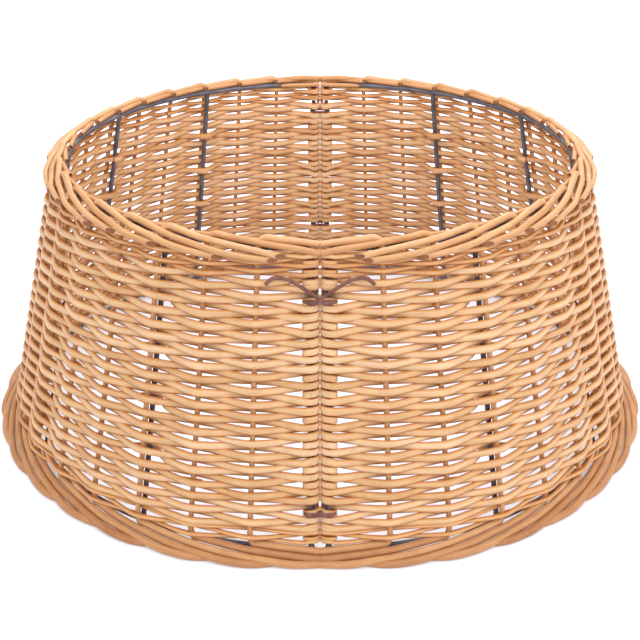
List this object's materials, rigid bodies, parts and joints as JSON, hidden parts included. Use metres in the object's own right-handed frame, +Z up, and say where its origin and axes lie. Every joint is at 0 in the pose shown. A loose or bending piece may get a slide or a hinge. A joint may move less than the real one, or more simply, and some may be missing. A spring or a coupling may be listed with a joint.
{
  "type": "christmas tree collar",
  "caption": "Wicker collar that hides a Christmas tree stand: two half panels of willow woven on welded steel frames, laced together at their edges.",
  "frame": {"origin": "on the floor, in the middle of the collar's footprint", "axes": "+Z up along the tree trunk, -Y towards the laced front seam, +X towards the right panel"},
  "size_m": [0.6948, 0.666, 0.2849],
  "materials": {
    "steel": "dull grey, lightly oxidised",
    "stake_willow": "satin, natural willow",
    "weaving_willow": "satin, golden willow",
    "wale_willow": "satin, golden willow",
    "leather": "matt brown leather"
  },
  "bodies": {
    "right_panel": {"right_frame": "steel", "right_stake_01": "stake_willow", "right_stake_02": "stake_willow", "right_stake_03": "stake_willow", "right_stake_04": "stake_willow", "right_stake_05": "stake_willow", "right_stake_06": "stake_willow", "right_stake_07": "stake_willow", "right_stake_08": "stake_willow", "right_stake_09": "stake_willow", "right_stake_10": "stake_willow", "right_stake_11": "stake_willow", "right_stake_12": "stake_willow", "right_stake_13": "stake_willow", "right_stake_14": "stake_willow", "right_stake_15": "stake_willow", "right_stake_16": "stake_willow", "right_stake_17": "stake_willow", "right_bottom_border_filler": "stake_willow", "right_top_border_filler": "stake_willow", "right_weaving_1": "weaving_willow", "right_weaving_2": "weaving_willow", "right_weaving_3": "weaving_willow", "right_weaving_4": "weaving_willow", "right_bottom_wale": "wale_willow", "right_top_wale": "wale_willow", "right_front_lower_lace": "leather", "right_front_upper_lace": "leather", "front_lower_knot": "leather", "front_upper_knot": "leather"},
    "left_panel": {"left_frame": "steel", "left_stake_01": "stake_willow", "left_stake_02": "stake_willow", "left_stake_03": "stake_willow", "left_stake_04": "stake_willow", "left_stake_05": "stake_willow", "left_stake_06": "stake_willow", "left_stake_07": "stake_willow", "left_stake_08": "stake_willow", "left_stake_09": "stake_willow", "left_stake_10": "stake_willow", "left_stake_11": "stake_willow", "left_stake_12": "stake_willow", "left_stake_13": "stake_willow", "left_stake_14": "stake_willow", "left_stake_15": "stake_willow", "left_stake_16": "stake_willow", "left_stake_17": "stake_willow", "left_bottom_border_filler": "stake_willow", "left_top_border_filler": "stake_willow", "left_weaving_1": "weaving_willow", "left_weaving_2": "weaving_willow", "left_weaving_3": "weaving_willow", "left_weaving_4": "weaving_willow", "left_bottom_wale": "wale_willow", "left_top_wale": "wale_willow", "left_front_lower_lace": "leather", "left_front_upper_lace": "leather", "back_lower_tie": "leather", "back_upper_tie": "leather"}
  },
  "joints": [
    {"name": "left_panel_swing", "type": "hinge", "parent": "right_panel", "child": "left_panel", "pos_m": [0.0078, 0.29638, 0.14152], "axis": [0, 0.2169, -0.9762], "range_deg": [0, 90]}
  ]
}
